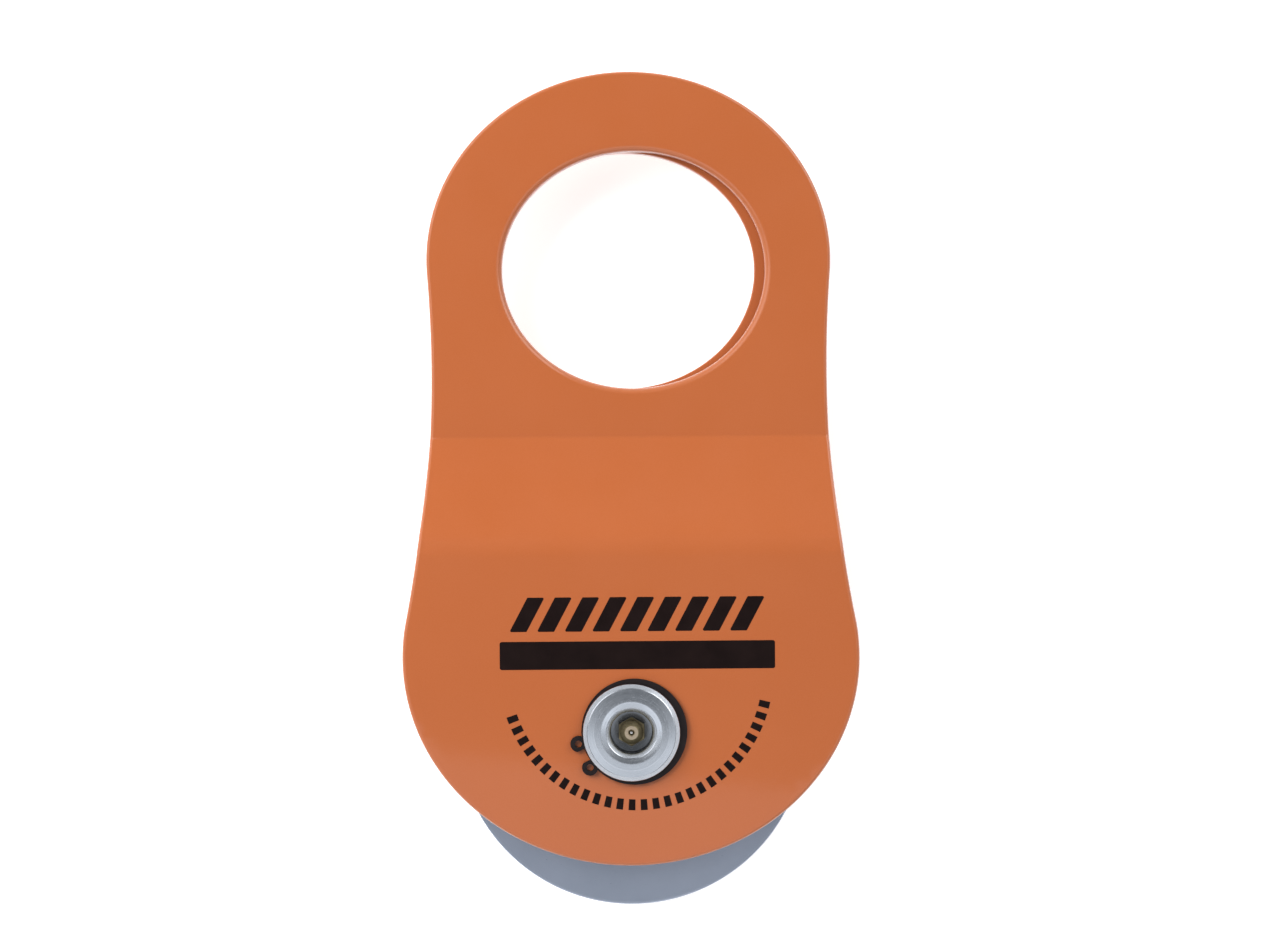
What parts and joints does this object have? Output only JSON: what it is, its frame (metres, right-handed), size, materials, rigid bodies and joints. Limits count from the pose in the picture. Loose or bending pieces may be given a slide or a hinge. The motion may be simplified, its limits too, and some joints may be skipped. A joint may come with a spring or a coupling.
{
  "type": "snatch block",
  "caption": "Snatch block with swinging joggled side plates that meet at a shackle eye, and a grooved sheave on a greased headed pin held by a retaining ring.",
  "frame": {"origin": "centre of the pin head's flat outer face, which stands on the surface", "axes": "+Z along the pin from its head to its ringed end, +Y from the pin towards the eye, +X to the right seen from the ringed end"},
  "size_m": [0.1256, 0.2311, 0.0455],
  "materials": {
    "plate_paint": "semi-gloss orange powder coat on pressed steel",
    "sheave_metal": "dull blue-grey zinc plate",
    "pin_steel": "bright zinc plate, turned",
    "ring_black": "blackened spring steel",
    "spring_steel": "plain drawn wire",
    "nipple_brass": "dull yellow plated",
    "bronze": "plain bearing bronze"
  },
  "bodies": {
    "rear_plate_and_pin": {"rear_side_plate": "plate_paint", "axle_pin": "pin_steel", "retaining_ring": "ring_black", "front_thrust_washer": "bronze", "rear_thrust_washer": "bronze", "grease_nipple": "nipple_brass", "nipple_spring": "spring_steel"},
    "front_plate": {"front_side_plate": "plate_paint"},
    "sheave": {"sheave": "sheave_metal", "sheave_bush": "bronze"},
    "nipple_ball": {"nipple_ball": "pin_steel"}
  },
  "joints": [
    {"name": "front_plate_swing", "type": "hinge", "parent": "rear_plate_and_pin", "child": "front_plate", "pos_m": [0, 0, 0.03835], "axis": [0, 0, 1], "continuous": true},
    {"name": "sheave_spin", "type": "hinge", "parent": "rear_plate_and_pin", "child": "sheave", "pos_m": [0, 0, 0.02245], "axis": [0, 0, 1], "continuous": true},
    {"name": "nipple_ball_press", "type": "slide", "parent": "rear_plate_and_pin", "child": "nipple_ball", "axis": [0, 0, -1], "range_m": [0, 0.0006], "stiffness_N_per_m": 300, "springref_m": -0.0005, "deforming": ["nipple_spring"]}
  ]
}
